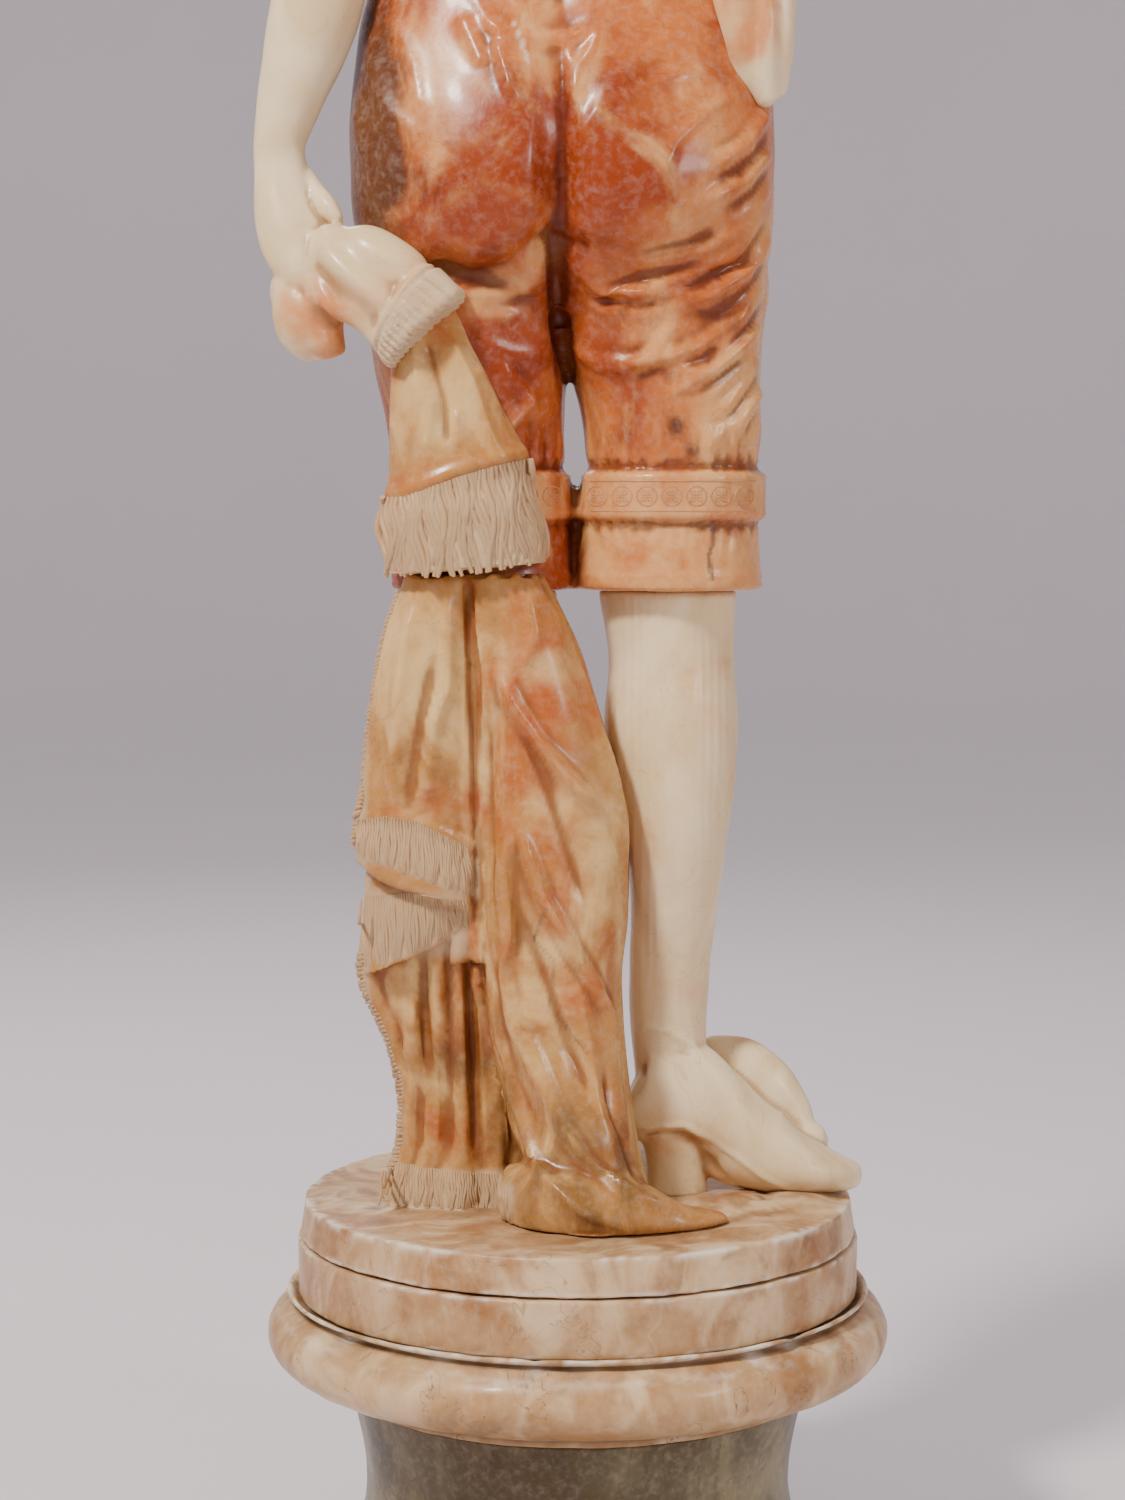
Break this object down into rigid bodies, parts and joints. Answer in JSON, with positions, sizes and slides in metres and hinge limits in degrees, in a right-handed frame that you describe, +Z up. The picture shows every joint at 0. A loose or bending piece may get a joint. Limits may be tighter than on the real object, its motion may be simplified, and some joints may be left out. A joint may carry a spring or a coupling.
{
  "type": "alabaster figure on a turned base",
  "caption": "Carved alabaster figure in knee breeches and heeled shoes with a fringed shawl falling behind it, on a round plinth and turned socle",
  "frame": {"origin": "centre of the flat underside of the socle, which rests on the floor or a pedestal", "axes": "+Z up; the figure faces -Y, so its back, which the picture shows, is toward +Y; +X is the figure's left"},
  "size_m": [0.3021, 0.3024, 1.1556],
  "materials": {
    "garment_alabaster": "polished, orange-brown with cream clouds and grey-violet spots",
    "shawl_alabaster": "polished, peach with orange patches, fringes left matt grey-cream",
    "flesh_alabaster": "polished, pale cream with faint tool lines",
    "plinth_alabaster": "satin, beige-pink with brown stains, ground roughly chiselled",
    "pedestal_alabaster": "polished, ochre-beige with pale veins and grey-green clouds, worn white edges"
  },
  "bodies": {
    "root": {"pedestal_socle": "pedestal_alabaster", "pedestal_cap": "pedestal_alabaster", "plinth_disc": "plinth_alabaster", "ground_slab": "plinth_alabaster", "breeches_and_bodice": "garment_alabaster", "right_leg_and_shoe": "flesh_alabaster", "left_leg_and_shoe": "flesh_alabaster", "shawl_lower_drape": "shawl_alabaster", "shawl_upper_fall": "shawl_alabaster", "left_arm_and_gather": "flesh_alabaster", "right_arm_and_scarf": "flesh_alabaster", "head_and_shoulders": "flesh_alabaster"}
  },
  "joints": []
}
